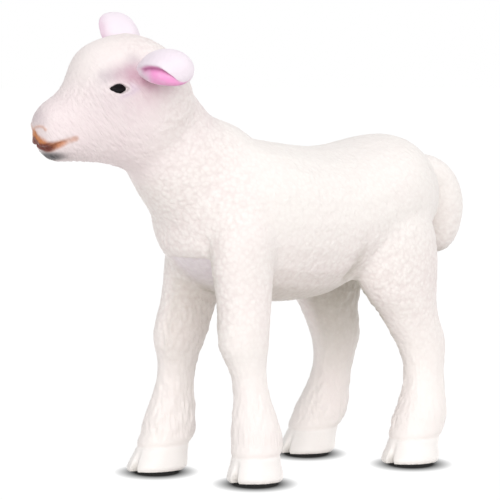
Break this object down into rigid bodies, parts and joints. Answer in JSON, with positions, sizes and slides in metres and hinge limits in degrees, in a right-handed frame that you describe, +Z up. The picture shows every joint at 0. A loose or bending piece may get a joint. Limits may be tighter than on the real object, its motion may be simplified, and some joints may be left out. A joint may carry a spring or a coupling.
{
  "type": "toy lamb figure",
  "caption": "Standing lamb figure of moulded vinyl, head turned, with plugged-in head, legs, tail and ears, resting on flat hoof soles.",
  "frame": {"origin": "on the floor below the middle of the figure's bounding box", "axes": "+Z up, the lamb's body faces -Y, and its left side is +X"},
  "size_m": [0.0238, 0.0668, 0.0566],
  "materials": {
    "white_vinyl": "soft satin moulded vinyl with a fine wool relief",
    "ear_vinyl": "satin moulded vinyl with a pink painted hollow",
    "eye_gloss": "gloss black"
  },
  "bodies": {
    "root": {"torso": "white_vinyl", "head": "white_vinyl", "ear_left": "ear_vinyl", "ear_right": "ear_vinyl", "tail": "white_vinyl", "foreleg_left": "white_vinyl", "foreleg_right": "white_vinyl", "hind_leg_left": "white_vinyl", "hind_leg_right": "white_vinyl", "eye_left": "eye_gloss", "eye_right": "eye_gloss"}
  },
  "joints": []
}
